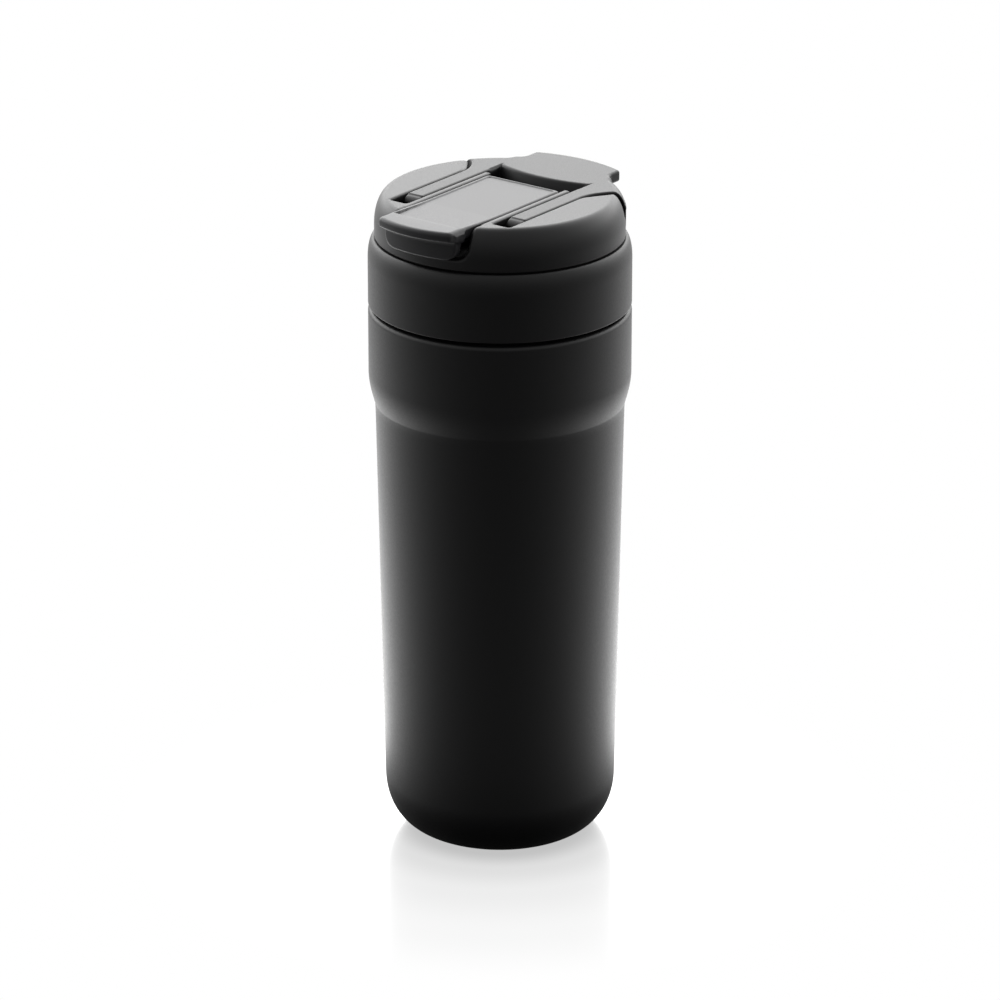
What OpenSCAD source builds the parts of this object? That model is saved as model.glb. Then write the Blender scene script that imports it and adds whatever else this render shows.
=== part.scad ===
// Double-wall travel tumbler with a screw lid, a flip cap and a carry handle folded flush into the lid.
// Origin at the middle of the base, +Z up. The drinking side faces -Y and the finger tab faces +Y.

/* [Vessel] */
// Outer radius of the body just above its base corner
body_r_low = 35.6; // [34:0.1:36.5]
// Outer radius of the body just below the waist
body_r_high = 38.0; // [36.8:0.1:38.6]
// Outer radius of the shoulder ring and of the lid collar
shoulder_r = 40.0; // [39.6:0.1:48]
// Height of the base corner
corner_h = 18; // [12:0.5:22]
// Width of the base corner
corner_w = 15; // [12:0.5:18]
// Height where the waist step starts
waist_z = 139.3; // [110:0.1:170]
// Rise of the waist step up to the shoulder ring
waist_h = 10.4; // [8:0.1:13]
// Height of the shoulder ring above the waist step
ring_h = 20.5; // [16:0.1:26]
// Wall of the outer shell
shell_t = 0.6; // [0.5:0.05:1]
// Wall of the inner liner
liner_t = 0.5; // [0.4:0.05:0.8]
// Vacuum gap between shell and liner
vacuum_gap = 2.6; // [2:0.1:4]
// Height of the neck above the shoulder
neck_h = 13.8; // [12.5:0.1:16]
// Width of the shoulder ledge around the neck
ledge_w = 2.8; // [2.4:0.1:3.4]

/* [Lid] */
// Gap between the body's shoulder and the lid collar
seam_gap = 1.2; // [0.6:0.1:1.6]
// Height of the lid collar
collar_h = 20.9; // [20:0.1:24]
// Wall of the lid collar
collar_t = 1.8; // [1.4:0.1:2]
// Height of the top cover above the collar
cover_h = 13.4; // [12.8:0.1:15]
// Step from the collar in to the top cover
cover_step = 2.0; // [1.6:0.1:2.6]
// Wall of the top cover
cover_t = 2.2; // [1.8:0.1:2.6]
// Rise of the lid for one turn of its thread
thread_lead = 4.5; // [4:0.1:5]
// Radial clearance between the screw plug and the neck
plug_gap = 1.3; // [1.2:0.05:1.5]

/* [Flip cap] */
// Half the width of the cap plate
cap_half_w = 13.5; // [12:0.1:14.5]
// Distance from the lid's axis back to the cap's rear edge
cap_rear = 12; // [10:0.1:13]
// Distance from the lid's axis to the middle of the cap's front lip
cap_front = 45.0; // [43:0.1:46]
// How far the middle of the lip stands ahead of its ends
lip_bow = 4.0; // [2:0.1:5]
// Rise of the lip above the lid's top
lip_rise = 0.7; // [0:0.1:1.5]
// Thickness of the cap plate
cap_t = 2.8; // [2.2:0.1:3.4]
// Depth of the flap below the lid's top
flap_h = 8.9; // [8:0.1:10.5]
// Radius of the cap's hinge pin
cap_pin_r = 1.0; // [0.8:0.05:1.1]

/* [Carry handle] */
// Distance from the middle to the inner side of each arm
arm_in = 16.4; // [15.8:0.1:17]
// Width of each arm
arm_w = 5.7; // [4.8:0.1:6.2]
// Distance from the lid's axis forward to the handle's pivot
pivot_y = 16.9; // [15:0.1:18]
// Radius of the round tip of each arm
tip_r = 2.9; // [2.4:0.1:3]
// Distance from the lid's axis back to the handle's shoulder
shoulder_y = 21.6; // [20:0.1:23]
// Distance from the lid's axis back to the window's edge, in the middle
window_y = 19.9; // [19:0.1:21]
// Reach of the finger tab from the lid's axis
tab_r = 42.9; // [41:0.1:45]
// Half the width of the finger tab
tab_half_w = 15; // [12:0.1:17]
// Radius of the handle's pins
handle_pin_r = 1.25; // [1:0.05:1.4]

/* [Fits] */
// Gap between faces that move past each other
move_gap = 0.4; // [0.3:0.05:0.5]
// Radial clearance of a pin in its running hole
pin_gap = 0.06; // [0.03:0.01:0.09]

/* [Hidden] */
$fn = 96;
eps = 0.01;
arc_steps = 10;
// Edge left on a turned or moulded rim, and the gap or overlap between pieces that are joined for good
edge = 0.3;
fit = 0.1;

// Heights of the vessel
shoulder_z = waist_z + waist_h;
body_top = shoulder_z + ring_h;
rim_z = body_top + neck_h;
foot_w = 2;
foot_in = body_r_low - corner_w - foot_w;
lip_h = 4;
disc_t = 0.8;
base_recess = 1.6;
lip_r = foot_in - shell_t;
mid_base_z = lip_h - disc_t;
port_r = 1.5;
liner_floor = 7;
liner_corner_h = 13;
liner_corner_w = 12;
liner_joint = liner_floor + liner_corner_h;
top_round = 1.5;

// Radii of the vessel
neck_r = shoulder_r - ledge_w;
liner_neck_r = neck_r - shell_t - fit;
rim_h = 0.6;

// Heights of the lid
gasket_t = 1.8;
seal_gap = 0.2;
collar_z = body_top + seam_gap;
cover_z = collar_z + collar_h;
lid_top = cover_z + cover_h;
cover_r = shoulder_r - cover_step;
crown_w = 4.2;
crown_h = 9.5;
flange_z = rim_z + gasket_t;
web_t = 2.6;
web_z = cover_z - web_t;
plug_r = liner_neck_r - liner_t - plug_gap;
plug_z = flange_z - 17.8;
plug_t = 2.2;
deck_t = 1.8;
channel_z = lid_top - 6.3;
slot_z = lid_top - 7.7;
recess_z = lid_top - 9.3;
deck_z = recess_z - deck_t;

// Wall left at the blind end of each pin hole
pin_cover = 0.5;

// Plan of the lid's channel, slots and pocket
channel_half = cap_half_w + move_gap;
slot_in = arm_in - move_gap;
arm_out = arm_in + arm_w;
slot_out = arm_out + move_gap;
slot_front = pivot_y + 8.4;
strip_end = cap_rear + 2;
block_half = slot_out + 2.4;
flap_r = cap_front - 3.4;
flap_t = 2.6;
flap_half = cap_half_w - fit;
pocket_r = cover_r - 1.4;
pocket_half = flap_half + move_gap;
pocket_z = lid_top - flap_h - move_gap;
fillet_r = 6.4;
skirt_t = 1.8;
skirt_z = lid_top - 10.7;
bar_t = 5;
bar_z = lid_top - bar_t;

// The cap's hinge, stopper and vent
cap_pin_y = cap_rear - 2.6;
cap_pin_z = lid_top - 3.4;
knuckle_r = 2.5;
under_t = 1.6;
under_z = lid_top - cap_t - under_t;
spout_y = -27.5;
spout_half = 6.2;
spout_r = 3.4;
spout_wall = 1.4;
spout_top = under_z - 1.1;
stopper_gap = 0.8;
stopper_h = 3.2;
vent_y = -6;
vent_r = 1.3;
vent_wall = 1.3;
vent_lap = 0.9;

// Stems of the stopper and the vent plug, pulled through the underplate
stem_in = 1.5;
vent_stem_r = 0.8;

// The handle's pivot
pivot_z = lid_top - tip_r;

// Thread ridges on the plug and in the neck
thread_turns = 1.2;
thread_step = 12;
ridge_out = 0.85;
ridge_in = 0.9;
ridge_w = 1.6;
ridge_tip = 0.7;
thread_z = plug_z + 4.6;

// Points on an ellipse about a centre, from one angle to another
function arc(cx, cy, rx, ry, from, to) =
    [for (i = [0 : arc_steps])
        let (a = from + (to - from) * i / arc_steps)
        [cx + rx * cos(a), cy + ry * sin(a)]];

// Waist step: a crisp inner corner below and a soft rounding into the upper radius
function waist(r0, r1, z0, z1) =
    [for (i = [0 : arc_steps]) let (t = i / arc_steps) [r0 + (r1 - r0) * sin(90 * t), z0 + (z1 - z0) * t]];

function reversed(list) = [for (i = [len(list) - 1 : -1 : 0]) list[i]];

// Outline of the outer shell at a depth inside its outer face, from the foot up to the neck's top
function shell_line(d) = concat(
    arc(foot_in + foot_w, corner_h, corner_w - d, corner_h - d, -90, 0),
    waist(body_r_high - d, shoulder_r - d, waist_z, shoulder_z),
    arc(shoulder_r - top_round, body_top - top_round, top_round - d, top_round - d, 0, 90),
    [[neck_r - d, body_top - d], [neck_r - d, rim_z - rim_h]]);

// Radius of the liner's outer face at a height on its straight wall
function liner_r(z) = body_r_low - shell_t - vacuum_gap
    + (body_r_high - body_r_low) * (z - corner_h) / (waist_z - corner_h);

function liner_line(d) = concat(
    [[liner_r(liner_joint) - d, liner_joint]],
    waist(liner_r(waist_z) - d, liner_neck_r - d, waist_z, shoulder_z));

// One round of a thread ridge: a trapezium that climbs as it turns, with faded ends
module ridge(root_r, crest_r, z, turns) {
    steps = floor(turns * 360 / thread_step);
    side = crest_r > root_r ? 1 : -1;
    rings = [for (i = [0 : steps])
        let (a = i * thread_step, h = z + thread_lead * a / 360, f = min(1, i / 2, (steps - i) / 2),
             tip = root_r + (crest_r - root_r) * f)
        [[root_r, h - ridge_w / 2], [tip + side * eps, h - ridge_tip / 2],
         [tip + side * eps, h + ridge_tip / 2], [root_r, h + ridge_w / 2]]];
    pts = [for (i = [0 : steps]) for (p = rings[i])
        [p[0] * cos(i * thread_step), p[0] * sin(i * thread_step), p[1]]];
    faces = concat(
        [for (i = [0 : steps - 1]) for (k = [0 : 3]) for (t = [0, 1])
            let (a = 4 * i + k, b = 4 * i + (k + 1) % 4)
            (side > 0) ? (t == 0 ? [a, b, b + 4] : [a, b + 4, a + 4])
                       : (t == 0 ? [b, a, b + 4] : [b + 4, a, a + 4])],
        side > 0 ? [[3, 2, 1, 0], [4 * steps, 4 * steps + 1, 4 * steps + 2, 4 * steps + 3]]
                 : [[0, 1, 2, 3], [4 * steps + 3, 4 * steps + 2, 4 * steps + 1, 4 * steps]]);
    polyhedron(pts, faces);
}

// Oval made of two cylinders and a bar, long across the lid
module oval(half, r, h) {
    for (s = [-1, 1]) translate([s * (half - r), 0, 0]) cylinder(r = r, h = h);
    translate([r - half, -r, 0]) cube([2 * (half - r), 2 * r, h]);
}

// Square-edged bar centred across the lid
module bar(half, y0, y1, z0, z1) {
    translate([-half, y0, z0]) cube([2 * half, y1 - y0, z1 - z0]);
}

// Round rod or hole across the lid, between two distances from the middle, at a depth forward of the axis
module cross_rod(x0, x1, forward, z, r) {
    translate([x0, -forward, z]) rotate([0, 90, 0]) cylinder(r = r, h = x1 - x0);
}

// Round ring between two radii
module ring(r1, r0, z, h) {
    translate([0, 0, z])
    difference() {
        cylinder(r = r1, h = h);
        translate([0, 0, -1]) cylinder(r = r0, h = h + 2);
    }
}

module on_both_sides() {
    for (s = [0, 1]) mirror([s, 0, 0]) children();
}

// ---- Vessel ----

module outer_shell() {
    color([0.05, 0.05, 0.055])
    rotate_extrude()
    polygon(concat(
        [[foot_in - shell_t, lip_h], [foot_in - shell_t, shell_t], [foot_in - edge, 0]],
        shell_line(0),
        reversed(shell_line(shell_t)),
        [[foot_in, shell_t], [foot_in, lip_h]]));
}

module outer_base() {
    color([0.75, 0.75, 0.77])
    translate([0, 0, base_recess - disc_t]) cylinder(r = lip_r, h = disc_t);
}

module mid_base() {
    color([0.7, 0.7, 0.72])
    difference() {
        translate([0, 0, mid_base_z]) cylinder(r = lip_r, h = disc_t);
        translate([0, 0, mid_base_z - 1]) cylinder(r = port_r, h = disc_t + 2);
    }
}

module vacuum_seal() {
    bead_t = 0.5;
    bead_lap = 0.9;
    color([0.6, 0.6, 0.6]) {
        translate([0, 0, mid_base_z - bead_t]) cylinder(r = port_r + bead_lap, h = bead_t);
        translate([0, 0, mid_base_z - fit]) cylinder(r = port_r, h = disc_t + fit);
    }
}

module getter() {
    getter_x = 10;
    getter_r = 4.5;
    getter_t = 1.4;
    color([0.35, 0.35, 0.37])
    translate([getter_x, 0, mid_base_z + disc_t]) cylinder(r = getter_r, h = getter_t);
}

module liner_tube() {
    color([0.78, 0.78, 0.8]) {
        rotate_extrude()
        polygon(concat(
            liner_line(0),
            [[liner_neck_r, rim_z - rim_h], [neck_r, rim_z - rim_h],
             [neck_r, rim_z - edge], [neck_r - edge, rim_z],
             [liner_neck_r - liner_t + edge, rim_z], [liner_neck_r - liner_t, rim_z - edge]],
            reversed(liner_line(liner_t))));
        ridge(liner_neck_r - liner_t + fit, liner_neck_r - liner_t - ridge_in, thread_z + thread_lead / 2,
              thread_turns);
    }
}

module liner_base() {
    outer_w = liner_r(liner_joint) - liner_corner_w;
    color([0.78, 0.78, 0.8])
    rotate_extrude()
    polygon(concat(
        [[0, liner_floor]],
        arc(outer_w, liner_joint, liner_corner_w, liner_corner_h, -90, 0),
        arc(outer_w, liner_joint, liner_corner_w - liner_t, liner_corner_h - liner_t, 0, -90),
        [[0, liner_floor + liner_t]]));
}

module copper_foil() {
    margin = 8;
    z0 = liner_joint + margin;
    z1 = waist_z - margin;
    gap = 0.05;
    foil = 0.15;
    color([0.75, 0.42, 0.25])
    rotate_extrude()
    polygon([[liner_r(z0) + gap, z0], [liner_r(z0) + gap + foil, z0], [liner_r(z1) + gap + foil, z1],
             [liner_r(z1) + gap, z1]]);
}

// ---- Lid ----

module lid_gasket() {
    color([0.3, 0.3, 0.3])
    ring(neck_r - seal_gap, plug_r + seal_gap, rim_z, gasket_t);
}

module lid_body() {
    flange_r = shoulder_r - collar_t - 2 * fit;
    floor_t = 2.2;
    color([0.1, 0.1, 0.1])
    difference() {
        union() {
            rotate_extrude()
            polygon([[0, plug_z], [plug_r - 1, plug_z], [plug_r, plug_z + 1], [plug_r, flange_z],
                     [flange_r, flange_z], [flange_r, web_z], [plug_r - plug_t, web_z],
                     [plug_r - plug_t, plug_z + floor_t], [0, plug_z + floor_t]]);
            ridge(plug_r - fit, plug_r + ridge_out, thread_z, thread_turns);
            translate([0, spout_y, plug_z])
                oval(spout_half + spout_wall, spout_r + spout_wall, spout_top - plug_z);
            translate([0, vent_y, plug_z]) cylinder(r = vent_r + vent_wall, h = spout_top - plug_z);
        }
        translate([0, spout_y, plug_z - 1]) oval(spout_half, spout_r, lid_top - plug_z);
        translate([0, vent_y, plug_z - 1]) cylinder(r = vent_r, h = lid_top - plug_z);
    }
}

module lid_collar() {
    round_h = 6.5;
    web_r = plug_r + 0.9;
    color([0.05, 0.05, 0.055])
    rotate_extrude()
    polygon(concat(
        [[shoulder_r - collar_t, collar_z], [shoulder_r - edge, collar_z], [shoulder_r, collar_z + edge]],
        arc(cover_r, cover_z - round_h, cover_step, round_h, 0, 90),
        [[web_r, cover_z], [web_r, web_z], [shoulder_r - collar_t, web_z]]));
}

// Solid round blank of the cover or handle, with the soft shoulder at its top edge
module cover_blank(r, z0, z1, crown_w, crown_h) {
    rotate_extrude()
    polygon(concat([[0, z0], [r, z0]], arc(r - crown_w, z1 - crown_h, crown_w, crown_h, 0, 90), [[0, z1]]));
}

// Arc of the crossbar's front edge, which bulges into the window between the arms
module window_arc(gap) {
    sagitta = shoulder_y + 1 - window_y;
    r = (arm_in * arm_in + sagitta * sagitta) / (2 * sagitta);
    translate([0, window_y - gap + r]) circle(r = r);
}

// Plan of the carry handle, grown by a gap for the room that it needs in the cover
module handle_plan(gap) {
    reach = cover_r + 2 * gap;
    difference() {
        union() {
            on_both_sides()
                translate([arm_in - gap, -pivot_y]) square([arm_w + 2 * gap, pivot_y + shoulder_y + 2]);
            intersection() {
                circle(r = reach);
                translate([-reach, shoulder_y - gap]) square([2 * reach, reach]);
            }
            // Fillets where the arms turn outward into the shoulders
            on_both_sides()
            difference() {
                translate([arm_out - 1, shoulder_y - fillet_r]) square([fillet_r + 1, fillet_r + 1]);
                translate([arm_out + fillet_r, shoulder_y - fillet_r]) circle(r = fillet_r - gap);
            }
            intersection() {
                window_arc(gap);
                translate([-arm_in - 1, window_y - gap]) square([2 * arm_in + 2, fillet_r]);
            }
        }
        if (gap == 0) difference() {
            translate([-arm_in, -pivot_y - 1]) square([2 * arm_in, pivot_y + shoulder_y + 2]);
            window_arc(0);
        }
    }
}

module lid_cover() {
    inner_r = cover_r - cover_t;
    spigot_r = plug_r - plug_t - 2 * fit;
    spigot_t = 1.8;
    spigot_drop = 2;
    seat_t = 1.6;
    color([0.06, 0.06, 0.06])
    difference() {
        union() {
            difference() {
                cover_blank(cover_r, cover_z, lid_top, crown_w, crown_h);
                cover_blank(inner_r, cover_z - 1, lid_top - cover_t, crown_w, crown_h);
            }
            intersection() {
                cover_blank(cover_r, deck_z, lid_top, crown_w, crown_h);
                bar(block_half, -cover_r, shoulder_y + 4, deck_z, lid_top);
            }
            // Ring that sits on the collar, and the spigot that snaps into the lid body
            ring(inner_r + eps, spigot_r - spigot_t, cover_z, seat_t);
            ring(spigot_r, spigot_r - spigot_t, web_z - spigot_drop, web_t + spigot_drop + eps);
        }
        // Channel for the cap, open to the front
        bar(channel_half, -cap_front - 1, strip_end, channel_z, lid_top + 1);
        // Room behind the hinge for the cap's rear edge as it swings down
        bar(channel_half, cap_pin_y - 1, strip_end, recess_z, lid_top + 1);
        // Finger recess behind the cap
        bar(slot_in, strip_end - eps, shoulder_y + 2, recess_z, lid_top + 1);
        // Slots for the handle's arms
        on_both_sides()
            translate([slot_in, -slot_front, slot_z])
                cube([slot_out - slot_in, slot_front + shoulder_y, lid_top]);
        // Seat of the handle's crossbar and skirt
        translate([0, 0, bar_z - move_gap]) linear_extrude(lid_top) handle_plan(move_gap);
        intersection() {
            bar(cover_r + 1, shoulder_y - move_gap, cover_r + 1, skirt_z - move_gap, lid_top + 1);
            ring(cover_r + 1, cover_r - skirt_t - move_gap, skirt_z - move_gap, cover_h);
        }
        // Pocket for the flap
        intersection() {
            bar(pocket_half, -cap_front, -cap_front / 2, pocket_z, lid_top + 1);
            ring(cap_front, pocket_r, pocket_z, cover_h);
        }
        // Holes for the spout and the vent
        translate([0, spout_y, web_z - 3])
            oval(spout_half + spout_wall + fit, spout_r + spout_wall + fit, lid_top);
        translate([0, vent_y, deck_z - 1]) cylinder(r = vent_r + vent_wall + fit, h = lid_top - deck_z);
        // Holes for the pins
        cross_rod(pin_cover - slot_in, slot_in - pin_cover, -cap_pin_y, cap_pin_z, cap_pin_r);
        on_both_sides()
            cross_rod(channel_half + pin_cover, block_half + 1, pivot_y, pivot_z, handle_pin_r);
    }
}

module cap_hinge_pin() {
    color([0.75, 0.75, 0.77])
    cross_rod(pin_cover - slot_in, slot_in - pin_cover, -cap_pin_y, cap_pin_z, cap_pin_r);
}

module handle_pin() {
    color([0.75, 0.75, 0.77]) cross_rod(channel_half + pin_cover, block_half, pivot_y, pivot_z, handle_pin_r);
}

module handle_pin_left() { mirror([1, 0, 0]) handle_pin(); }
module handle_pin_right() { handle_pin(); }

// ---- Flip cap ----

// Plan of the cap plate: straight sides and a lip that bows forward
module cap_plan() {
    bow_r = (cap_half_w * cap_half_w + lip_bow * lip_bow) / (2 * lip_bow);
    intersection() {
        translate([-cap_half_w, -cap_front]) square([2 * cap_half_w, cap_front + cap_rear]);
        union() {
            translate([0, bow_r - cap_front]) circle(r = bow_r);
            translate([-cap_half_w, lip_bow - cap_front]) square([2 * cap_half_w, cap_front + cap_rear]);
        }
    }
}

module cap_plate() {
    plate_z = lid_top - cap_t;
    lip_z = plate_z + 0.6;
    lip_back = flap_r - flap_t / 2;
    rise_start = cap_front / 2;
    rise_end = cap_front - lip_bow;
    color([0.08, 0.08, 0.08])
    difference() {
        union() {
            // Plate, which runs up to its front lip
            intersection() {
                translate([0, 0, plate_z - 1]) linear_extrude(cap_t + lip_rise + 2) cap_plan();
                translate([-cap_half_w, 0, 0]) rotate([90, 0, 90]) linear_extrude(2 * cap_half_w)
                polygon([[cap_rear, plate_z], [cap_rear, lid_top], [-rise_start, lid_top],
                         [-rise_end, lid_top + lip_rise], [-cap_front - 1, lid_top + lip_rise],
                         [-cap_front - 1, lip_z], [-lip_back, lip_z], [-lip_back, plate_z]]);
            }
            // Flap below the lip
            intersection() {
                bar(flap_half, -cap_front, -cap_front / 2, lid_top - flap_h, plate_z + 1);
                ring(flap_r, flap_r - flap_t, lid_top - flap_h, flap_h);
            }
            // Knuckle at the hinge
            cross_rod(-cap_half_w, cap_half_w, -cap_pin_y, cap_pin_z, knuckle_r);
        }
        cross_rod(-cap_half_w - 1, cap_half_w + 1, -cap_pin_y, cap_pin_z, cap_pin_r + pin_gap);
    }
}

module cap_underplate() {
    half = cap_half_w - 1.2;
    under_back = 1.6;
    color([0.12, 0.12, 0.12])
    difference() {
        intersection() {
            bar(half, -pocket_r + under_back, cap_pin_y - knuckle_r - edge, under_z, under_z + under_t);
            translate([0, 0, under_z - 1]) cylinder(r = pocket_r - under_back / 2, h = under_t + 2);
        }
        translate([0, spout_y, under_z - 1]) oval(spout_half - stem_in, spout_r - stem_in, under_t + 2);
        translate([0, vent_y, under_z - 1]) cylinder(r = vent_stem_r, h = under_t + 2);
    }
}

module spout_stopper() {
    flange_t = under_z - spout_top - fit;
    bead_h = 1.2;
    bead_gap = 0.35;
    color([0.2, 0.2, 0.2])
    translate([0, spout_y, 0]) {
        translate([0, 0, under_z - flange_t]) oval(spout_half + 1, spout_r + 1, flange_t);
        translate([0, 0, under_z - flange_t - bead_h])
            oval(spout_half - bead_gap, spout_r - bead_gap, bead_h + fit);
        translate([0, 0, under_z - flange_t - stopper_h])
            oval(spout_half - stopper_gap, spout_r - stopper_gap, stopper_h);
        translate([0, 0, under_z - fit]) oval(spout_half - stem_in, spout_r - stem_in, under_t + fit);
    }
}

module vent_plug() {
    flange_t = under_z - spout_top - fit;
    color([0.2, 0.2, 0.2])
    translate([0, vent_y, 0]) {
        translate([0, 0, under_z - flange_t]) cylinder(r = vent_r + vent_lap, h = flange_t);
        translate([0, 0, under_z - flange_t - 1]) cylinder(r = vent_r - edge, h = 1 + fit);
        translate([0, 0, under_z - fit]) cylinder(r = vent_stem_r, h = under_t + fit);
    }
}

// ---- Carry handle ----

module carry_handle() {
    tab_t = 3.6;
    bar_round = 1.6;
    color([0.07, 0.07, 0.07])
    difference() {
        union() {
            intersection() {
                translate([0, 0, bar_z]) linear_extrude(bar_t) handle_plan(0);
                cover_blank(cover_r, bar_z - 1, lid_top, bar_round, bar_round);
            }
            // Round tips on the arms
            on_both_sides() cross_rod(arm_in, arm_out, pivot_y, pivot_z, tip_r);
            // Skirt round the rear of the lid
            intersection() {
                bar(cover_r, shoulder_y, cover_r, skirt_z, bar_z + eps);
                ring(cover_r, cover_r - skirt_t, skirt_z, bar_z - skirt_z + eps);
            }
            // Finger tab
            intersection() {
                bar(tab_half_w, shoulder_y, tab_r, lid_top - tab_t, lid_top);
                ring(tab_r, cover_r - tab_t, lid_top - tab_t, tab_t);
            }
        }
        on_both_sides() cross_rod(arm_in - 1, arm_out + 1, pivot_y, pivot_z, handle_pin_r + pin_gap);
    }
}

outer_shell();
outer_base();
mid_base();
vacuum_seal();
getter();
liner_tube();
liner_base();
copper_foil();
lid_gasket();
lid_body();
lid_collar();
lid_cover();
cap_hinge_pin();
handle_pin_left();
handle_pin_right();
cap_plate();
cap_underplate();
spout_stopper();
vent_plug();
carry_handle();
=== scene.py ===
import math

import bmesh
import bpy
import numpy as np
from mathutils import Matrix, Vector


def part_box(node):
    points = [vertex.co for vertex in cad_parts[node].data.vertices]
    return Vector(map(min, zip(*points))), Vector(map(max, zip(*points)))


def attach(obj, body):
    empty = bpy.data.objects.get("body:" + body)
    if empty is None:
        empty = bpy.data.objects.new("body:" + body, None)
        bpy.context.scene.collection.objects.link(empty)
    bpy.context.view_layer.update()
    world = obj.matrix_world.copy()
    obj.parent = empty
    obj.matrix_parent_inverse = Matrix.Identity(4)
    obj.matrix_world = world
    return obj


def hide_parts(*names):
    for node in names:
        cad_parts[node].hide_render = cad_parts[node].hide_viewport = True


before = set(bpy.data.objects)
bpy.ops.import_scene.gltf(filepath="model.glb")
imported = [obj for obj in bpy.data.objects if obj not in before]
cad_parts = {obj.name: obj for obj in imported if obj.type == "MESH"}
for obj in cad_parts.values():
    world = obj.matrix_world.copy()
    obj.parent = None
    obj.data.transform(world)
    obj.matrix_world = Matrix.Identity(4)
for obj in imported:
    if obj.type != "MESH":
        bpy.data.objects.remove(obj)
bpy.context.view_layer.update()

MM = 0.001
lid_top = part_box("lid_cover")[1].z / MM

# ---------------------------------------------------------------------------------------------
# The studio camera, a long portrait lens that looks a little down on the tumbler from its
# drinking side. It stands on the circle round the mug that shows the flap and one arm slot.
# ---------------------------------------------------------------------------------------------
camera_azimuth = math.radians(37.0)
camera_distance = 1.700
camera_height = 0.7538
camera_tilt = math.radians(20.84)

camera_data = bpy.data.cameras.new("studio_camera")
camera_data.sensor_width = 36
camera_data.lens = 213.4
camera_data.clip_start = 0.05
camera_data.clip_end = 50
camera = bpy.data.objects.new("studio_camera", camera_data)
camera.location = (camera_distance * math.sin(camera_azimuth), -camera_distance * math.cos(camera_azimuth),
                   camera_height)
camera.rotation_euler = (math.pi / 2 - camera_tilt, 0, camera_azimuth)
bpy.context.collection.objects.link(camera)
bpy.context.scene.camera = camera


# ---------------------------------------------------------------------------------------------
# Outer shell: one drawn cup of 304 steel, spun to the slight taper and the waist step, then
# powder coated in matt black. The coat flows, so every edge is soft and the wall has a faint peel.
# ---------------------------------------------------------------------------------------------
def linear(hex_colour):
    """sRGB hex to the linear RGBA that shaders take."""
    parts = [int(hex_colour[i:i + 2], 16) / 255 for i in (1, 3, 5)]
    return [c / 12.92 if c <= 0.04045 else ((c + 0.055) / 1.055) ** 2.4 for c in parts] + [1.0]


def add_node(tree, kind, settings=None, **links):
    """Adds one shader node. Inputs are set by name, from a value or from another node's socket."""
    node = tree.nodes.new(kind)
    for key, value in (settings or {}).items():
        setattr(node, key, value)
    for key, value in links.items():
        socket = node.inputs[int(key[1:])] if key[1:].isdigit() else node.inputs[key.replace("_", " ")]
        if isinstance(value, bpy.types.NodeSocket):
            tree.links.new(value, socket)
        else:
            socket.default_value = value
    return node


def new_material(name, colour, roughness, metallic=0.0, ior=1.5):
    """A Principled surface with its constants on the shader's own sockets."""
    material = bpy.data.materials.new(name)
    material.use_nodes = True
    shader = material.node_tree.nodes["Principled BSDF"]
    shader.inputs["Base Color"].default_value = linear(colour)
    shader.inputs["Roughness"].default_value = roughness
    shader.inputs["Metallic"].default_value = metallic
    shader.inputs["IOR"].default_value = ior
    material.diffuse_color = linear(colour)
    return material, material.node_tree, shader


def grain(material_parts, spacing_mm, height_mm, rough_low, rough_high, detail=2.0):
    """Fine bump and roughness change with a real spacing and height, as a mould or a coat leaves."""
    tree, shader = material_parts[1:]
    place = add_node(tree, "ShaderNodeTexCoord")
    noise = add_node(tree, "ShaderNodeTexNoise", {"noise_dimensions": "3D"}, Vector=place.outputs["Object"],
                     Scale=1 / (spacing_mm * MM), Detail=detail, Roughness=0.55)
    bump = add_node(tree, "ShaderNodeBump", None, Height=noise.outputs["Fac"], Strength=1.0,
                    Distance=height_mm * MM)
    tree.links.new(bump.outputs["Normal"], shader.inputs["Normal"])
    gloss = add_node(tree, "ShaderNodeMapRange", None, Value=noise.outputs["Fac"], From_Min=0.3,
                     From_Max=0.7, To_Min=rough_low, To_Max=rough_high)
    tree.links.new(gloss.outputs["Result"], shader.inputs["Roughness"])
    return material_parts[0]


def powder_coat():
    """Baked polyester powder: a matt black skin with a peel about half a millimetre across."""
    return grain(new_material("powder_coat_black", "#0b0b0c", 0.46), 0.55, 0.004, 0.42, 0.50)


def rounded(corners):
    """Outline in mm from (radius, height, corner rounding). Rounded corners become arcs of short steps."""
    line = []
    count = len(corners)
    for i, (r, z, size) in enumerate(corners):
        here = Vector((r, z))
        before = Vector(corners[i - 1][:2]) - here
        after = Vector(corners[(i + 1) % count][:2]) - here
        if size <= 0 or before.length < 1e-6 or after.length < 1e-6:
            line.append((r, z))
            continue
        half = before.angle(after) / 2
        cut = min(size / math.tan(half), before.length * 0.49, after.length * 0.49)
        size = cut * math.tan(half)
        centre = here + (before.normalized() + after.normalized()).normalized() * (size / math.sin(half))
        first = here + before.normalized() * cut - centre
        last = here + after.normalized() * cut - centre
        sweep = first.angle_signed(last)
        steps = max(2, math.ceil(abs(sweep) / math.radians(12)))
        for k in range(steps + 1):
            turn = -sweep * k / steps
            spun = Vector((first.x * math.cos(turn) - first.y * math.sin(turn),
                           first.x * math.sin(turn) + first.y * math.cos(turn)))
            line.append(tuple(centre + spun))
    return line


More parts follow.
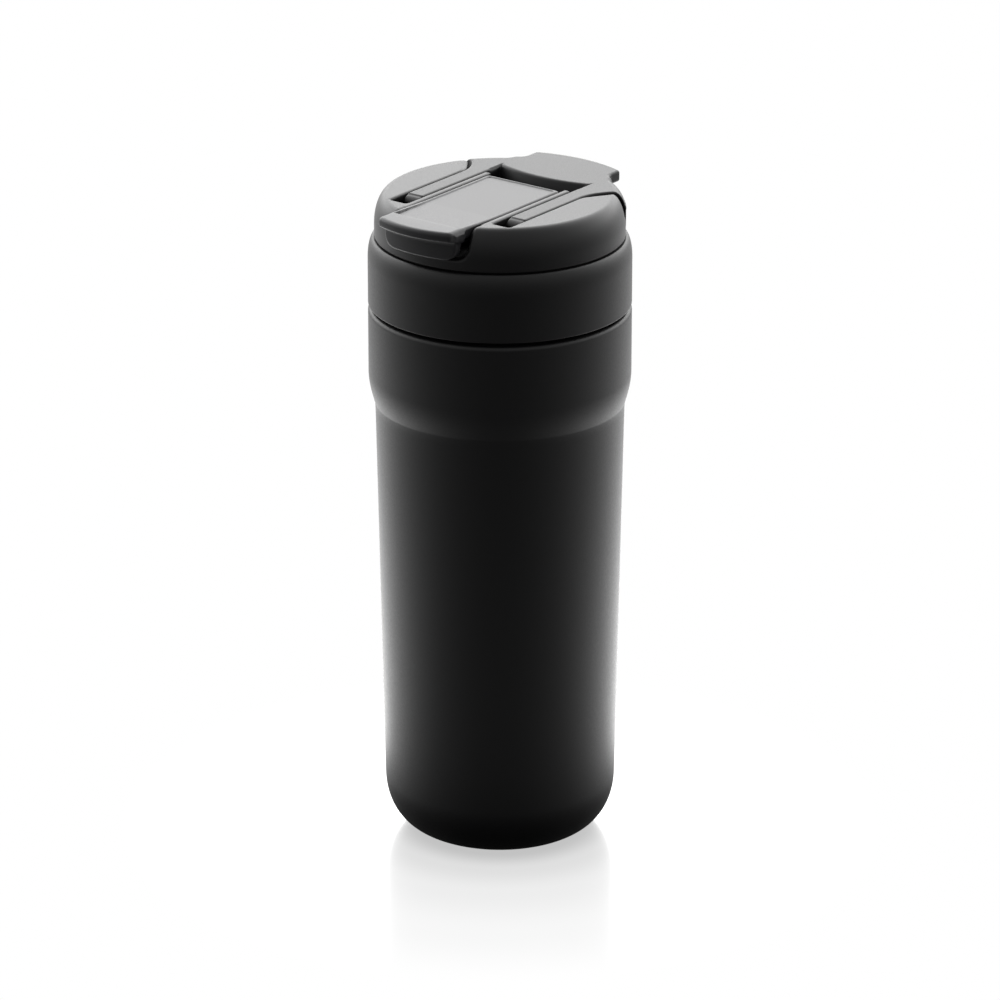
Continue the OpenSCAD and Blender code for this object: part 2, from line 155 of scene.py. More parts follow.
def turned(name, outline, around=240):
    """Turns a closed outline in mm about the upright axis into a smooth solid."""
    verts, rings = [], []
    for r, z in outline:
        if r < 1e-6:
            rings.append([len(verts)] * around)
            verts.append((0, 0, z * MM))
            continue
        rings.append(list(range(len(verts), len(verts) + around)))
        for k in range(around):
            a = 2 * math.pi * k / around
            verts.append((r * math.cos(a) * MM, r * math.sin(a) * MM, z * MM))
    faces = []
    for i, low in enumerate(rings):
        high = rings[(i + 1) % len(rings)]
        for k in range(around):
            n = (k + 1) % around
            face = list(dict.fromkeys((low[k], low[n], high[n], high[k])))
            if len(face) > 2:
                faces.append(face)
    return smooth_piece(name, verts, faces)


def smooth_piece(name, verts, faces):
    mesh = bpy.data.meshes.new(name)
    mesh.from_pydata(verts, [], faces)
    mesh.validate()
    mesh.shade_smooth()
    piece = bpy.data.objects.new(name, mesh)
    bpy.context.collection.objects.link(piece)
    weighted = piece.modifiers.new("flat_faces_stay_flat", "WEIGHTED_NORMAL")
    weighted.weight = 100
    return piece


def finish_piece(piece, body, slot, material, *stands_for):
    piece.data.materials.clear()
    piece.data.materials.append(material)
    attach(piece, body)
    if stands_for:
        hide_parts(*stands_for)


shell_wall = 0.6
corner_width, corner_height, corner_fullness = 15.0, 18.0, 0.90
low_radius, high_radius, ring_radius = 35.6, 38.0, 40.0
waist_height, shoulder_height = 139.3, 149.7
body_top = 170.2
neck_radius, neck_top = 37.2, 183.4
foot_radius, foot_flange, flange_height = 20.6, 2, 4


def shell_line(inset):
    """One face of the shell from its foot to the top of the neck."""
    line = [(foot_radius + (corner_width - inset) * math.sin(a) ** corner_fullness,
             corner_height - (corner_height - inset) * math.cos(a) ** corner_fullness)
            for a in np.linspace(0, math.pi / 2 - 0.001, 37)]
    line += [(low_radius - inset + (high_radius - low_radius) * t,
              corner_height + (waist_height - corner_height) * t) for t in np.linspace(0.05, 0.985, 20)]
    line += [(high_radius - inset + (ring_radius - high_radius) * math.sin(math.pi / 2 * t),
              waist_height + (shoulder_height - waist_height) * t) for t in np.linspace(0.04, 1, 19)]
    line += rounded([(ring_radius - inset, 160, 0), (ring_radius - inset, body_top - inset, 1.5),
                     (neck_radius - inset, body_top - inset, 0.8), (neck_radius - inset, neck_top, 0)])
    return line


flange_radius = foot_radius - foot_flange
foot_lip = rounded([(flange_radius - shell_wall, flange_height, 0), (flange_radius - shell_wall, 0, 0.6),
                    (foot_radius - 0.5, 0, 0)])
shell_outline = foot_lip + shell_line(0) + shell_line(shell_wall)[::-1]
shell_outline += [(flange_radius, shell_wall), (flange_radius, flange_height)]
shell = turned("drawn_shell", shell_outline)
finish_piece(shell, "vessel", "powder_coat", powder_coat(), "outer_shell")


# ---------------------------------------------------------------------------------------------
# Base: a disc of 304 steel pressed into the foot ring and left bare. It is spun on a lathe pad,
# so its brush marks run in rings and stretch the light across the disc.
# ---------------------------------------------------------------------------------------------
def ringed_steel(name, colour, roughness, spacing_mm):
    """Steel brushed in rings round the axis, with the marks as a fine bump in the radius."""
    material, tree, shader = new_material(name, colour, roughness, metallic=1.0)
    place = add_node(tree, "ShaderNodeTexCoord")
    axes = add_node(tree, "ShaderNodeSeparateXYZ", None, Vector=place.outputs["Object"])
    flat = add_node(tree, "ShaderNodeCombineXYZ", None, X=axes.outputs["X"], Y=axes.outputs["Y"])
    radius = add_node(tree, "ShaderNodeVectorMath", {"operation": "LENGTH"}, _0=flat.outputs["Vector"])
    along = add_node(tree, "ShaderNodeCombineXYZ", None, X=radius.outputs["Value"], Z=axes.outputs["Z"])
    marks = add_node(tree, "ShaderNodeTexNoise", {"noise_dimensions": "3D"}, Vector=along.outputs["Vector"],
                     Scale=1 / (spacing_mm * MM), Detail=3.0)
    bump = add_node(tree, "ShaderNodeBump", None, Height=marks.outputs["Fac"], Strength=0.6,
                    Distance=0.002 * MM)
    tree.links.new(bump.outputs["Normal"], shader.inputs["Normal"])
    tone = add_node(tree, "ShaderNodeMapRange", None, Value=marks.outputs["Fac"], From_Min=0.25,
                    From_Max=0.75, To_Min=roughness * 0.8, To_Max=roughness * 1.25)
    tree.links.new(tone.outputs["Result"], shader.inputs["Roughness"])
    return material


disc_radius = flange_radius - shell_wall
disc_top, disc_low, disc_middle = 1.6, 0.8, 0.95
disc_outline = rounded([(0, disc_top, 0), (disc_radius, disc_top, 0), (disc_radius, disc_low, 0.15),
                        (disc_radius * 0.55, disc_low, 0), (disc_radius * 0.53, disc_middle, 0),
                        (0, disc_middle, 0)])
disc_face = turned("pressed_base_disc", disc_outline, 160)
finish_piece(disc_face, "vessel", "bare_steel", ringed_steel("brushed_304_steel", "#c9c7c2", 0.34, 0.16),
             "outer_base")


# ---------------------------------------------------------------------------------------------
# Inside the jacket: the mid base with its brazed port, the getter and the copper foil. Only a cut
# mug would show them, but each keeps the finish that it has in the factory.
# ---------------------------------------------------------------------------------------------
def dress(node, material):
    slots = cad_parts[node].data.materials
    if len(slots):
        for i in range(len(slots)):
            slots[i] = material
    else:
        slots.append(material)


def worked_metal(name, colour, roughness, spacing_mm, height_mm):
    return grain(new_material(name, colour, roughness, metallic=1.0), spacing_mm, height_mm, roughness * 0.8,
                 roughness * 1.2, detail=4.0)


dress("mid_base", worked_metal("stamped_304_steel", "#bdbbb6", 0.42, 0.8, 0.003))
dress("vacuum_seal", worked_metal("fused_braze", "#a7a49a", 0.30, 1.2, 0.012))
dress("getter", worked_metal("sintered_getter_alloy", "#6f6d6b", 0.70, 0.25, 0.010))
dress("copper_foil", worked_metal("rolled_copper_foil", "#c9805a", 0.28, 2.5, 0.010))


# ---------------------------------------------------------------------------------------------
# Liner: a second cup of 304 steel, its base pressed apart and welded on. It is electropolished, so
# it mirrors softly, with the draw lines of the press still faint on the wall.
# ---------------------------------------------------------------------------------------------
electropolished = ringed_steel("electropolished_304_steel", "#cfcdc9", 0.16, 0.5)
dress("liner_tube", electropolished)
dress("liner_base", electropolished)


# ---------------------------------------------------------------------------------------------
# Gasket: a flat ring of food silicone that the lid squeezes on the rim. Moulded against a ground
# steel face, which leaves it dull and a little blue-grey.
# ---------------------------------------------------------------------------------------------
def silicone(name, colour):
    material, tree, shader = new_material(name, colour, 0.55, ior=1.41)
    shader.inputs["Subsurface Weight"].default_value = 0.15
    shader.inputs["Subsurface Radius"].default_value = (0.8 * MM, 0.8 * MM, 0.7 * MM)
    return grain((material, tree, shader), 0.35, 0.003, 0.48, 0.62)


dress("lid_gasket", silicone("moulded_silicone_grey", "#77797b"))


# ---------------------------------------------------------------------------------------------
# Lid body: the inner half of the lid with its plug, thread, spout and vent tubes. It is moulded
# in black polypropylene, slightly waxy, with no texture on the tool.
# ---------------------------------------------------------------------------------------------
dress("lid_body", grain(new_material("moulded_polypropylene_black", "#131314", 0.36, ior=1.49), 0.5, 0.002,
                        0.32, 0.42))


# ---------------------------------------------------------------------------------------------
# Collar: the wide band of the lid, coated to match the body. It curves in to the top cover and
# holds the lid body by its web.
# ---------------------------------------------------------------------------------------------
collar_low, collar_top = 171.4, 192.3
collar_wall, collar_curve = 1.8, 6.5
web_bore, web_low = 35.6, 189.7
cover_radius = 38.0
collar_outline = rounded([(web_bore, collar_top, 0), (web_bore, web_low, 0),
                          (ring_radius - collar_wall, web_low, 0),
                          (ring_radius - collar_wall, collar_low, 0.2), (ring_radius, collar_low, 0.4),
                          (ring_radius, collar_top - collar_curve, 0)])
collar_outline += [(cover_radius + (ring_radius - cover_radius) * math.cos(a),
                    collar_top - collar_curve + collar_curve * math.sin(a))
                   for a in np.linspace(0.05, math.pi / 2 - 0.08, 18)]
collar_outline += [(cover_radius + 0.06, collar_top - 0.08), (cover_radius - 0.25, collar_top)]
collar = turned("lid_collar_ring", collar_outline)
finish_piece(collar, "lid", "collar_black",
             grain(new_material("coated_collar_black", "#0b0b0c", 0.44), 0.55, 0.004, 0.40, 0.48),
             "lid_collar")


# ---------------------------------------------------------------------------------------------
# Top cover: one ABS moulding with the cap's channel, the arms' slots and the finger recess. The
# tool is spark-eroded to a fine satin grain, and every edge has the small radius of a milled cut.
# ---------------------------------------------------------------------------------------------
def soft_max(a, b, k):
    """Larger of two distances, with the crest between them rounded over about k mm."""
    near = np.maximum(k - np.abs(a - b), 0) / k
    return np.maximum(a, b) + near * near * k / 4


def soft_min(a, b, k):
    return -soft_max(-a, -b, k)


def between(value, low, high):
    return np.maximum(low - value, value - high)


def block(x, y, z, xs, ys, zs, k=0.3):
    return soft_max(soft_max(between(x, *xs), between(y, *ys), k), between(z, *zs), k)


def crowned(rho, z, radius, top, width, height):
    """Distance to a round blank whose side runs over into its flat top by an elliptical shoulder."""
    u = np.maximum(rho - (radius - width), 0) / width
    v = np.maximum(z - (top - height), 0) / height
    f = np.sqrt(u * u + v * v) - 1
    slope = np.sqrt((u / width) ** 2 + (v / height) ** 2) / np.maximum(f + 1, 1e-6)
    shoulder = f / np.maximum(slope, 1e-3)
    return np.where((u > 0) & (v > 0), shoulder, np.maximum(rho - radius, z - top))


def skin(name, shape, low, high, step):
    """Mesh of the surface where shape(x, y, z) is zero, on a grid of that step in mm."""
    step *= 1
    axes = [np.arange(low[i] - step, high[i] + 2 * step, step) + 0.137 * step for i in range(3)]
    counts = [len(a) for a in axes]
    x, y, z = np.meshgrid(*axes, indexing="ij", sparse=True)
    field = np.broadcast_to(shape(x, y, z), counts)
    inside = field < 0
    corners = [(i, j, k) for i in (0, 1) for j in (0, 1) for k in (0, 1)]

    def corner(values, c):
        return values[tuple(slice(c[i], counts[i] - 1 + c[i]) for i in range(3))]

    total = sum(corner(inside, c).astype(np.int8) for c in corners)
    cells = np.argwhere((total > 0) & (total < 8))
    index = np.full([n - 1 for n in counts], -1, np.int32)
    index[tuple(cells.T)] = np.arange(len(cells))
    values = {c: field[tuple((cells + c).T)] for c in corners}
    place = np.zeros((len(cells), 3))
    hits = np.zeros(len(cells))
    for a in corners:
        for axis in range(3):
            if a[axis]:
                continue
            b = tuple(a[i] + (i == axis) for i in range(3))
            va, vb = values[a], values[b]
            crosses = (va < 0) != (vb < 0)
            share = np.where(crosses, va / np.where(crosses, va - vb, 1), 0)
            point = np.tile(np.array(a, float), (len(cells), 1))
            point[:, axis] += share
            place += point * crosses[:, None]
            hits += crosses
    origin = np.array([a[0] for a in axes])
    points = origin + (cells + place / hits[:, None]) * step
    start = points.copy()
    for _ in range(4):
        distance = shape(*points.T)
        nudge = 0.02
        slope = np.stack([(shape(*(points + shift).T) - shape(*(points - shift).T)) / (2 * nudge)
                          for shift in nudge * np.eye(3)], axis=1)
        size = np.maximum((slope ** 2).sum(1), 0.25)
        points -= slope * (distance / size)[:, None]
        points = start + np.clip(points - start, -0.45 * step, 0.45 * step)
    quads = []
    for axis in range(3):
        one, two = [(1, 2), (2, 0), (0, 1)][axis]
        head = [slice(None)] * 3
        head[axis] = slice(1, None)
        tail = [slice(None)] * 3
        tail[axis] = slice(None, -1)
        edges = np.argwhere(inside[tuple(head)] != inside[tuple(tail)])
        edges = edges[(edges[:, one] > 0) & (edges[:, two] > 0)
                      & (edges[:, one] < counts[one] - 1) & (edges[:, two] < counts[two] - 1)]
        ring = []
        for da, db in ((-1, -1), (0, -1), (0, 0), (-1, 0)):
            cell = edges.copy()
            cell[:, one] += da
            cell[:, two] += db
            ring.append(index[tuple(cell.T)])
        ring = np.stack(ring, axis=1)
        leaving = inside[tuple(edges.T)]
        ring[~leaving] = ring[~leaving][:, ::-1]
        quads.append(ring)
    quads = np.concatenate(quads)
    mesh = bpy.data.meshes.new(name)
    mesh.from_pydata((points * MM).tolist(), [], quads.tolist())
    work = bmesh.new()
    work.from_mesh(mesh)
    bmesh.ops.dissolve_limit(work, angle_limit=math.radians(0.35), verts=work.verts, edges=work.edges)
    work.to_mesh(mesh)
    work.free()
    mesh.shade_smooth()
    piece = bpy.data.objects.new(name, mesh)
    bpy.context.collection.objects.link(piece)
    weighted = piece.modifiers.new("flat_faces_stay_flat", "WEIGHTED_NORMAL")
    weighted.weight = 100
    return piece


crown_width, crown_height = 4.2, 9.5
cover_wall, cover_floor = 2.2, 1.6
spigot_bore, spigot_radius, spigot_low = 30.5, 32.3, 187.7
core_half, core_rear, core_low = 24.9, 25.6, lid_top - 11.1
mill_edge, front_edge, shoulder_roll = 0.7, 1.3, 3.0
running_gap = 0.4
cap_half = 13.5
channel_half = cap_half + running_gap
arm_inner, arm_outer = 16.4, 22.1
slot_inner, slot_outer = arm_inner - running_gap, arm_outer + running_gap
pivot_forward = 16.9
slot_front = pivot_forward + 8.4
strip_end = 14.0
channel_floor = lid_top - 6.3
slot_floor = lid_top - 7.7
recess_floor = lid_top - 9.3
bar_bottom = lid_top - 5
skirt_bottom = lid_top - 10.7
skirt_wall = 1.8
handle_shoulder = 21.6
window_rear = 19.9
web_root, web_end = 14.2, 27.0
pocket_half, pocket_radius, pocket_corner = 13.9, 36.6, 4.0
spout_forward, spout_half, spout_round = 27.5, 7.7, 4.9
vent_forward, vent_bore, tubes_low = 6, 2.7, 180
cap_pin, cap_pin_radius, cap_pin_half = (9.4, lid_top - 3.4), 1.0, 15.5
handle_pin, handle_pin_radius, handle_pin_inner = (-pivot_forward, lid_top - 2.9), 1.25, 14.4
clear_above = 230


def oval_tube(x, y, half, r):
    return np.hypot(np.maximum(np.abs(x) - (half - r), 0), y) - r


def window_arc(x, y):
    """Distance outside the arc of the crossbar's front edge, which bulges between the arms."""
    sagitta = handle_shoulder + 1 - window_rear
    bow = (arm_inner ** 2 + sagitta ** 2) / (2 * sagitta)
    return np.hypot(x, y - window_rear - bow) - bow


def elbow_web(x, y, gap):
    """Plan of the web that slants from each arm out to the end of the crossbar."""
    side = np.abs(x)
    run, rise = web_end - arm_outer, handle_shoulder - web_root
    length = math.hypot(run, rise)
    slant = ((side - arm_outer) * rise - (y - web_root) * run) / length - gap
    return np.maximum(slant, np.maximum(arm_outer - 1 - side, y - handle_shoulder - 1))


def handle_plan(x, y, gap):
    """Plan of the folded handle: two arms, their elbows, and the crossbar round the rear."""
    side = np.abs(x)
    rho = np.hypot(x, y)
    arms = np.maximum(between(side, arm_inner - gap, arm_outer + gap), between(y, -pivot_forward, 23.6))
    rear = np.maximum(handle_shoulder - gap - y, rho - cover_radius - 2 * gap)
    bulge = window_arc(x, y) - gap
    window = np.maximum(between(side, -1, arm_inner + 1), between(y, window_rear - gap, 30))
    inner = np.maximum(bulge, window)
    plan = soft_min(soft_min(arms, elbow_web(x, y, gap), 2.4), rear, 2.4)
    opening = np.maximum(side - (arm_inner - gap), np.maximum(y - 26, -bulge))
    return np.maximum(np.minimum(plan, inner), -opening)


def about(pin, y, z):
    """Distance from the line of a pin that lies across the lid."""
    return np.hypot(y - pin[0], z - pin[1])


def cover_shape(x, y, z):
    rho = np.hypot(x, y)
    side = np.abs(x)
    outer = crowned(rho, z, cover_radius, lid_top, crown_width, crown_height)
    outer = soft_max(outer, collar_top - z, 1.1)
    inner = crowned(rho, z, cover_radius - cover_wall, lid_top - cover_wall, crown_width, crown_height)
    body = soft_max(outer, -np.maximum(inner, collar_top + cover_floor - z), 0.4)
    core = soft_max(outer, np.maximum(side - core_half, np.maximum(core_low - z, y - core_rear)), 0.4)
    body = np.minimum(body, core)
    spigot = between(rho, spigot_bore, spigot_radius)
    spigot = soft_max(spigot, between(z, spigot_low, collar_top + 0.8), 0.3)
    ledge = soft_max(between(rho, spigot_bore, 36.0), between(z, collar_top, collar_top + cover_floor), 0.2)
    body = np.minimum(np.minimum(body, spigot), ledge)

    across, deep = (-channel_half, channel_half), (recess_floor, clear_above)
    channel = block(x, y, z, across, (-60, strip_end), (channel_floor, clear_above), 0.8)
    behind = block(x, y, z, across, (cap_pin[0] - 1, strip_end + 1), deep, 0.8)
    finger = block(side, y, z, (-1, slot_inner), (strip_end, handle_shoulder + 2), deep, 0.8)
    slots = block(side, y, z, (slot_inner, slot_outer), (-slot_front, handle_shoulder),
                  (slot_floor, clear_above), 1.2)
    seat = np.maximum(handle_plan(x, y, running_gap), bar_bottom - running_gap - z)
    skirt = np.maximum(np.maximum(handle_shoulder - running_gap - y, skirt_bottom - running_gap - z),
                       cover_radius - skirt_wall - running_gap - rho)
    pocket = soft_max(side - pocket_half, recess_floor - z, pocket_corner)
    pocket = np.maximum(pocket, np.maximum(pocket_radius - rho, y + 20))
    spout = np.maximum(oval_tube(x, y + spout_forward, spout_half, spout_round), tubes_low - z)
    vent = np.maximum(np.hypot(x, y + vent_forward) - vent_bore, tubes_low - z)
    cap_bore = np.maximum(about(cap_pin, y, z) - cap_pin_radius, side - cap_pin_half)
    arm_bores = np.maximum(about(handle_pin, y, z) - handle_pin_radius,
                           between(side, handle_pin_inner, core_half))

    shoulder = np.minimum(handle_shoulder - running_gap - y, elbow_web(x, y, running_gap))
    shoulder = np.maximum(shoulder, bar_bottom - running_gap - z)
    body = soft_max(body, -shoulder, shoulder_roll)
    body = soft_max(body, -np.minimum(slots, np.minimum(seat, skirt)), mill_edge)
    front = soft_min(channel, pocket, 1.0)
    body = soft_max(body, -np.minimum(front, np.minimum(behind, finger)),
                    np.where(y < -28, front_edge, mill_edge))
    return np.maximum(body, -np.minimum(np.minimum(spout, vent), np.minimum(cap_bore, arm_bores)))


def satin_abs(name, colour="#101011", ior=1.53):
    """Spark-eroded ABS: a grain of about a third of a millimetre under a low even sheen."""
    return grain(new_material(name, colour, 0.40, ior=ior), 0.32, 0.003, 0.36, 0.46)


cover = skin("top_cover", cover_shape, (-38, -38, spigot_low), (38, 38, lid_top), 0.42)
finish_piece(cover, "lid", "lid_black", satin_abs("satin_abs_lid"), "lid_cover")


# ---------------------------------------------------------------------------------------------
# Pins: ground stainless rods. One carries the cap, and one at each side carries an arm.
# ---------------------------------------------------------------------------------------------
ground_pin = worked_metal("ground_stainless_pin", "#c4c3c0", 0.25, 0.4, 0.001)
for node in ("cap_hinge_pin", "handle_pin_left", "handle_pin_right"):
    dress(node, ground_pin)


# ---------------------------------------------------------------------------------------------
# Flip cap: an ABS plate with a knuckle at its rear and a lip to lift it by. Below the lip a flap
# hangs down the front of the cover and closes the channel.
# ---------------------------------------------------------------------------------------------
cap_thick, cap_rear, cap_border, panel_sink = 2.8, 12, 1.3, 0.26
lip_reach, lip_bow, lip_rise = 45.0, 2.8, 0.7
rise_start, panel_front = 16, 36
flap_radius, flap_wall, flap_bottom, flap_corner = 41.6, 2.6, lid_top - 8.9, 4.5
knuckle_radius, knuckle_bore = 2.5, 1.06


def cap_shape(x, y, z):
    rho = np.hypot(x, y)
    side = np.abs(x)
    bow = (cap_half ** 2 + lip_bow ** 2) / (2 * lip_bow)
    front = np.where(y < bow - lip_reach, np.hypot(x, y - bow + lip_reach) - bow, -5.0)
    rise = np.clip((-y - rise_start) / (lip_reach - lip_bow - rise_start), 0, 1)
    top = z - lid_top - lip_rise * rise * rise * (3 - 2 * rise)
    plan = soft_max(soft_max(side - cap_half, y - cap_rear, 1.2), front, 0.9)
    plate = soft_max(plan, top, 0.7 + 0.7 * np.clip((-y - 30) / 8, 0, 1))
    plate = soft_max(plate, lid_top - cap_thick - z + 0.6 * np.clip((-y - panel_front) / 3, 0, 1), 0.5)
    panel = soft_max(side - cap_half + cap_border, y - 10.9, 1.0)
    sink = panel_sink * np.clip((y + panel_front) / 16, 0, 1)
    plate = np.maximum(plate, -np.maximum(panel, np.maximum(lid_top - sink - z, -panel_front - y)))
    flap = soft_max(side - cap_half + 0.1, flap_bottom - z, flap_corner)
    flap = soft_max(flap, between(rho, flap_radius - flap_wall, flap_radius), 0.7)
    flap = np.maximum(flap, np.maximum(y + 20, z - lid_top + 1.5))
    knuckle = soft_max(about(cap_pin, y, z) - knuckle_radius, side - cap_half, 0.6)
    body = soft_min(soft_min(plate, knuckle, 0.4), flap, 2.2)
    return np.maximum(body, knuckle_bore - about(cap_pin, y, z))


cap = skin("flip_cap_plate", cap_shape, (-13.6, -45.1, lid_top - 9), (13.6, 12.1, lid_top + 0.8), 0.3)
# The cap uses the cover's ABS in a lighter grey (#222224). This is painted light: it stands in for soft
# front light falling on the flap and lip.
finish_piece(cap, "cap", "lid_black", satin_abs("satin_abs_cap_painted_front_light", "#222224"), "cap_plate")


# ---------------------------------------------------------------------------------------------
# Under the cap: a clipped polypropylene plate that traps two silicone plugs, the oval one for the
# spout and the small one for the air vent.
# ---------------------------------------------------------------------------------------------
dress("cap_underplate", grain(new_material("moulded_underplate_black", "#161617", 0.38, ior=1.49),
                              0.5, 0.002, 0.34, 0.44))
black_silicone = silicone("moulded_silicone_black", "#1b1b1c")
dress("spout_stopper", black_silicone)
dress("vent_plug", black_silicone)


# ---------------------------------------------------------------------------------------------
# Carry handle: a U of ABS that lies flush in the lid. Its arms turn on the side pins, its skirt
# completes the cover's side at the rear, and a tab stands out there for the finger.
# ---------------------------------------------------------------------------------------------
tab_half, tab_radius, tab_thick = 15.9, 42.7, 3.6
tab_root, root_rear = 28, 30
edge_width, edge_height = 3.8, 6.0
arm_edge, window_edge = 0.8, 1.8
barrel_radius, barrel_bore = 2.5, 1.31
grip_slope = 0.36


def handle_shape(x, y, z):
    rho = np.hypot(x, y)
    side = np.abs(x)
    tab = soft_max(side - tab_half, rho - tab_radius, 0.6)
    rim = np.maximum(rho - cover_radius + 1.2, side - 18.2)
    root = soft_min(np.maximum(tab, root_rear - y), rim, 2.4)
    tab = soft_max(np.maximum(root, tab_root - y), between(z, lid_top - tab_thick, lid_top), 0.9)
    edge = crowned(rho, z, cover_radius, lid_top, edge_width, edge_height)
    easing = np.where((y > 17) & (y < 25) & (side < arm_inner + 0.6), window_edge, arm_edge)
    bar = soft_max(handle_plan(x, y, 0.0), between(z, bar_bottom, lid_top), easing)
    bar = np.maximum(bar, edge)
    tips = soft_max(about(handle_pin, y, z) - barrel_radius, between(side, arm_inner, arm_outer), 0.7)
    skirt = np.maximum(handle_shoulder - y, between(z, skirt_bottom, bar_bottom + 1))
    skirt = soft_max(between(rho, cover_radius - skirt_wall, cover_radius), skirt, 0.7)
    grip = window_arc(x, y) - grip_slope * (lid_top - z)
    grip = soft_max(grip, between(z, bar_bottom, lid_top), arm_edge)
    grip = np.maximum(grip, np.maximum(side - arm_inner, y - 24))
    body = np.minimum(np.minimum(soft_min(bar, tab, 1.0), tips), grip)
    body = np.maximum(soft_min(body, skirt, 0.5), z - lid_top)
    return np.maximum(body, -np.maximum(about(handle_pin, y, z) - barrel_bore, side - 24))


handle = skin("carry_handle_loop", handle_shape, (-38, -20, skirt_bottom), (38, 42.9, lid_top), 0.36)
finish_piece(handle, "handle", "handle_black", satin_abs("satin_abs_handle", ior=1.45), "carry_handle")


# ---------------------------------------------------------------------------------------------
# Floor: a sheet of white acrylic that glows evenly under the mug. It is polished where the mug
# stands and goes over to matt within about ten centimetres, so the reflection fades out.
# ---------------------------------------------------------------------------------------------
def sheet(name, reach):
    """Level square sheet of the studio, reach metres from its middle to each edge."""
    mesh = bpy.data.meshes.new(name)
    mesh.from_pydata([(-reach, -reach, 0), (reach, -reach, 0), (reach, reach, 0), (-reach, reach, 0)], [],
                     [(0, 1, 2, 3)])
    piece = bpy.data.objects.new(name, mesh)
    bpy.context.collection.objects.link(piece)
    return piece


def light_material(name, piece):
    """Material of a lit sheet: its tree, and the socket that takes the light."""
    material, tree, shader = new_material(name, "#ffffff", 0.3)
    tree.nodes.remove(shader)
    piece.data.materials.append(material)
    return tree, tree.nodes["Material Output"].inputs["Surface"]


def fill_ramp(ramp_node, stops):
    ramp = ramp_node.color_ramp
    ramp.interpolation = "EASE"
    while len(ramp.elements) > 1:
        ramp.elements.remove(ramp.elements[-1])
    for i, (place, level) in enumerate(stops):
        element = ramp.elements[0] if i == 0 else ramp.elements.new(place)
        element.position = place
        element.color = (level, level, level, 1)


floor_half, polished_reach = 30, 0.12
floor = sheet("studio_floor", floor_half)
floor.location.z = -0.05 * MM
floor.visible_glossy = False
floor.visible_diffuse = False
floor.visible_shadow = False
floor_tree, floor_surface = light_material("white_acrylic_floor", floor)
floor_place = add_node(floor_tree, "ShaderNodeTexCoord")
floor_reach = add_node(floor_tree, "ShaderNodeVectorMath", {"operation": "LENGTH"},
                       _0=floor_place.outputs["Object"])
floor_share = add_node(floor_tree, "ShaderNodeMapRange", None, Value=floor_reach.outputs["Value"],
                       From_Max=polished_reach)
polish = add_node(floor_tree, "ShaderNodeValToRGB", None, Fac=floor_share.outputs["Result"])
fill_ramp(polish, [(0.0, 0.5), (0.22, 0.46), (0.32, 0.26), (0.46, 0.15), (0.7, 0.07), (1.0, 0.0)])
glow = add_node(floor_tree, "ShaderNodeEmission", None, Color=(1, 1, 1, 1), Strength=1.0)
mirror = add_node(floor_tree, "ShaderNodeBsdfGlossy", None, Color=(1, 1, 1, 1), Roughness=0.16)
blend = add_node(floor_tree, "ShaderNodeMixShader", None, _0=polish.outputs["Color"], _1=glow.outputs[0],
                 _2=mirror.outputs[0])
floor_tree.links.new(blend.outputs[0], floor_surface)


# ---------------------------------------------------------------------------------------------
# Light table: back-lit acrylic just under the floor, seen only in the mug's surfaces. It is bright
# behind the mug, and dark in front and close in, so the edges light up and the middle stays black.
# ---------------------------------------------------------------------------------------------
backward = (-math.sin(camera_azimuth), math.cos(camera_azimuth), 0)
table_half, table_strength = 0.8, 5.0
table = sheet("light_table", table_half)
table.location.z = -0.1 * MM
table.visible_camera = False
table.visible_shadow = False
table_tree, table_surface = light_material("back_lit_acrylic", table)
table_place = add_node(table_tree, "ShaderNodeTexCoord")
reach = add_node(table_tree, "ShaderNodeVectorMath", {"operation": "LENGTH"},
                 _0=table_place.outputs["Object"])
aim = add_node(table_tree, "ShaderNodeVectorMath", {"operation": "NORMALIZE"},
               _0=table_place.outputs["Object"])
rear = add_node(table_tree, "ShaderNodeVectorMath", {"operation": "DOT_PRODUCT"}, _0=aim.outputs["Vector"],
                _1=backward)
rear_share = add_node(table_tree, "ShaderNodeMapRange", None, Value=rear.outputs["Value"], From_Min=-1,
                      From_Max=1)
rear_level = add_node(table_tree, "ShaderNodeValToRGB", None, Fac=rear_share.outputs["Result"])
fill_ramp(rear_level, [(0.0, 0.03), (0.2, 0.07), (0.4, 0.18), (0.62, 0.42), (0.9, 1.0)])
fall_off = add_node(table_tree, "ShaderNodeValToRGB", None, Fac=reach.outputs["Value"])
fill_ramp(fall_off, [(0.0, 0.08), (0.06, 0.12), (0.095, 1.0), (0.30, 0.55), (0.50, 0.22), (0.8, 0.15)])
table_level = add_node(table_tree, "ShaderNodeMath", {"operation": "MULTIPLY"},
                       _0=rear_level.outputs["Color"], _1=fall_off.outputs["Color"])
table_power = add_node(table_tree, "ShaderNodeMath", {"operation": "MULTIPLY"}, _0=table_level.outputs[0],
                       _1=table_strength)
table_glow = add_node(table_tree, "ShaderNodeEmission", None, Color=(1, 1, 1, 1),
                      Strength=table_power.outputs[0])
table_tree.links.new(table_glow.outputs[0], table_surface)


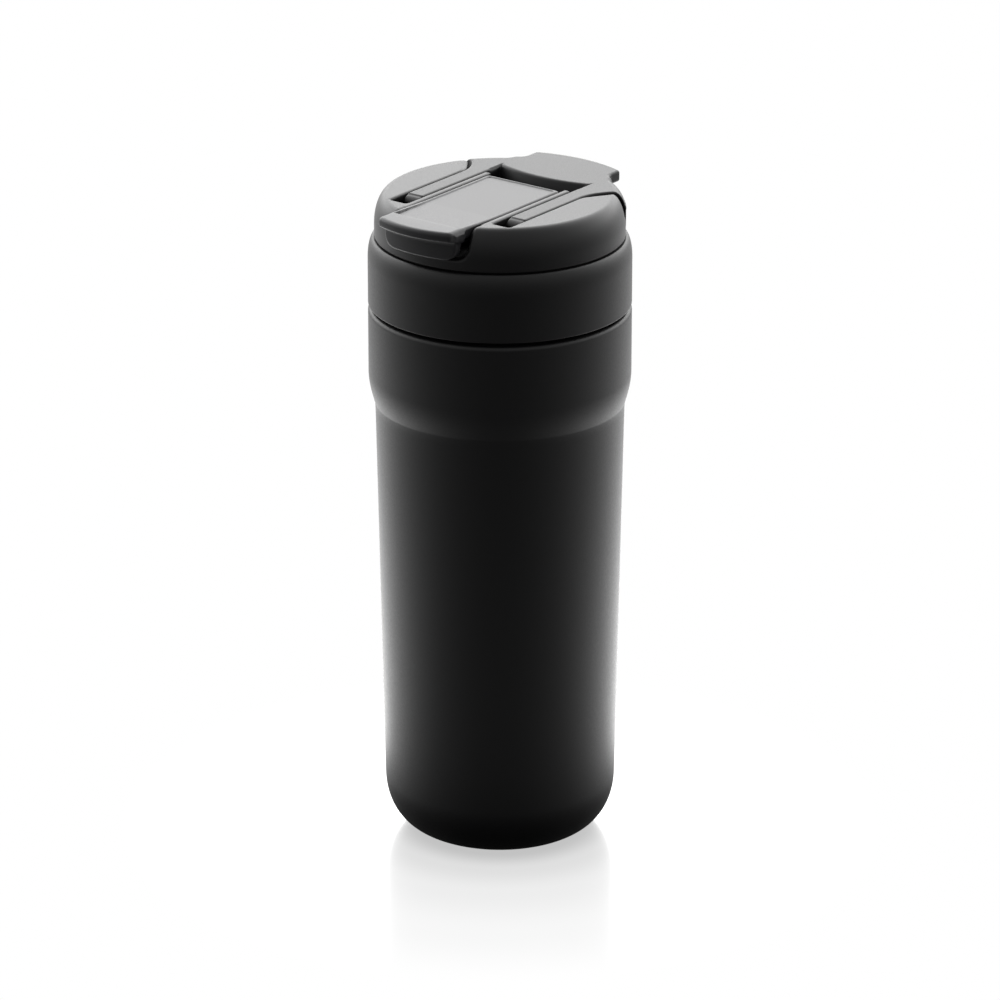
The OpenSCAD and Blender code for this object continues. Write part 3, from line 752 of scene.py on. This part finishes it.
# ---------------------------------------------------------------------------------------------
# Room: soft light from behind and overhead that falls away to a dark drape in front, which leaves
# the matt black quiet between two bright edges. The backdrop itself is seen as plain white.
# ---------------------------------------------------------------------------------------------
room_strength = 4.0
world = bpy.data.worlds.new("studio_room")
bpy.context.scene.world = world
world.use_nodes = True
room = world.node_tree
for node in list(room.nodes):
    room.nodes.remove(node)
direction = add_node(room, "ShaderNodeTexCoord")
axes = add_node(room, "ShaderNodeSeparateXYZ", None, Vector=direction.outputs["Generated"])
behind = add_node(room, "ShaderNodeVectorMath", {"operation": "DOT_PRODUCT"},
                  _0=direction.outputs["Generated"], _1=backward)
side_share = add_node(room, "ShaderNodeMapRange", None, Value=behind.outputs["Value"], From_Min=-1,
                      From_Max=1)
sides = add_node(room, "ShaderNodeValToRGB", None, Fac=side_share.outputs["Result"])
fill_ramp(sides, [(0.0, 0.075), (0.22, 0.135), (0.42, 0.19), (0.60, 0.45), (0.85, 1.0)])
height_share = add_node(room, "ShaderNodeMapRange", None, Value=axes.outputs["Z"], From_Min=-1, From_Max=1)
heights = add_node(room, "ShaderNodeValToRGB", None, Fac=height_share.outputs["Result"])
fill_ramp(heights, [(0.0, 0.25), (0.46, 0.28), (0.60, 1.0), (0.85, 0.9), (1.0, 0.5)])
room_level = add_node(room, "ShaderNodeMath", {"operation": "MULTIPLY"}, _0=sides.outputs["Color"],
                      _1=heights.outputs["Color"])
room_power = add_node(room, "ShaderNodeMath", {"operation": "MULTIPLY"}, _0=room_level.outputs[0],
                      _1=room_strength)
lit_room = add_node(room, "ShaderNodeBackground", None, Color=(1, 1, 1, 1), Strength=room_power.outputs[0])
seen_room = add_node(room, "ShaderNodeBackground", None, Color=(1, 1, 1, 1), Strength=1.0)
ray = add_node(room, "ShaderNodeLightPath")
pick = add_node(room, "ShaderNodeMixShader", None, _0=ray.outputs["Is Camera Ray"], _1=lit_room.outputs[0],
                _2=seen_room.outputs[0])
add_node(room, "ShaderNodeOutputWorld", None, Surface=pick.outputs[0])
bpy.context.scene.view_settings.view_transform = "Standard"
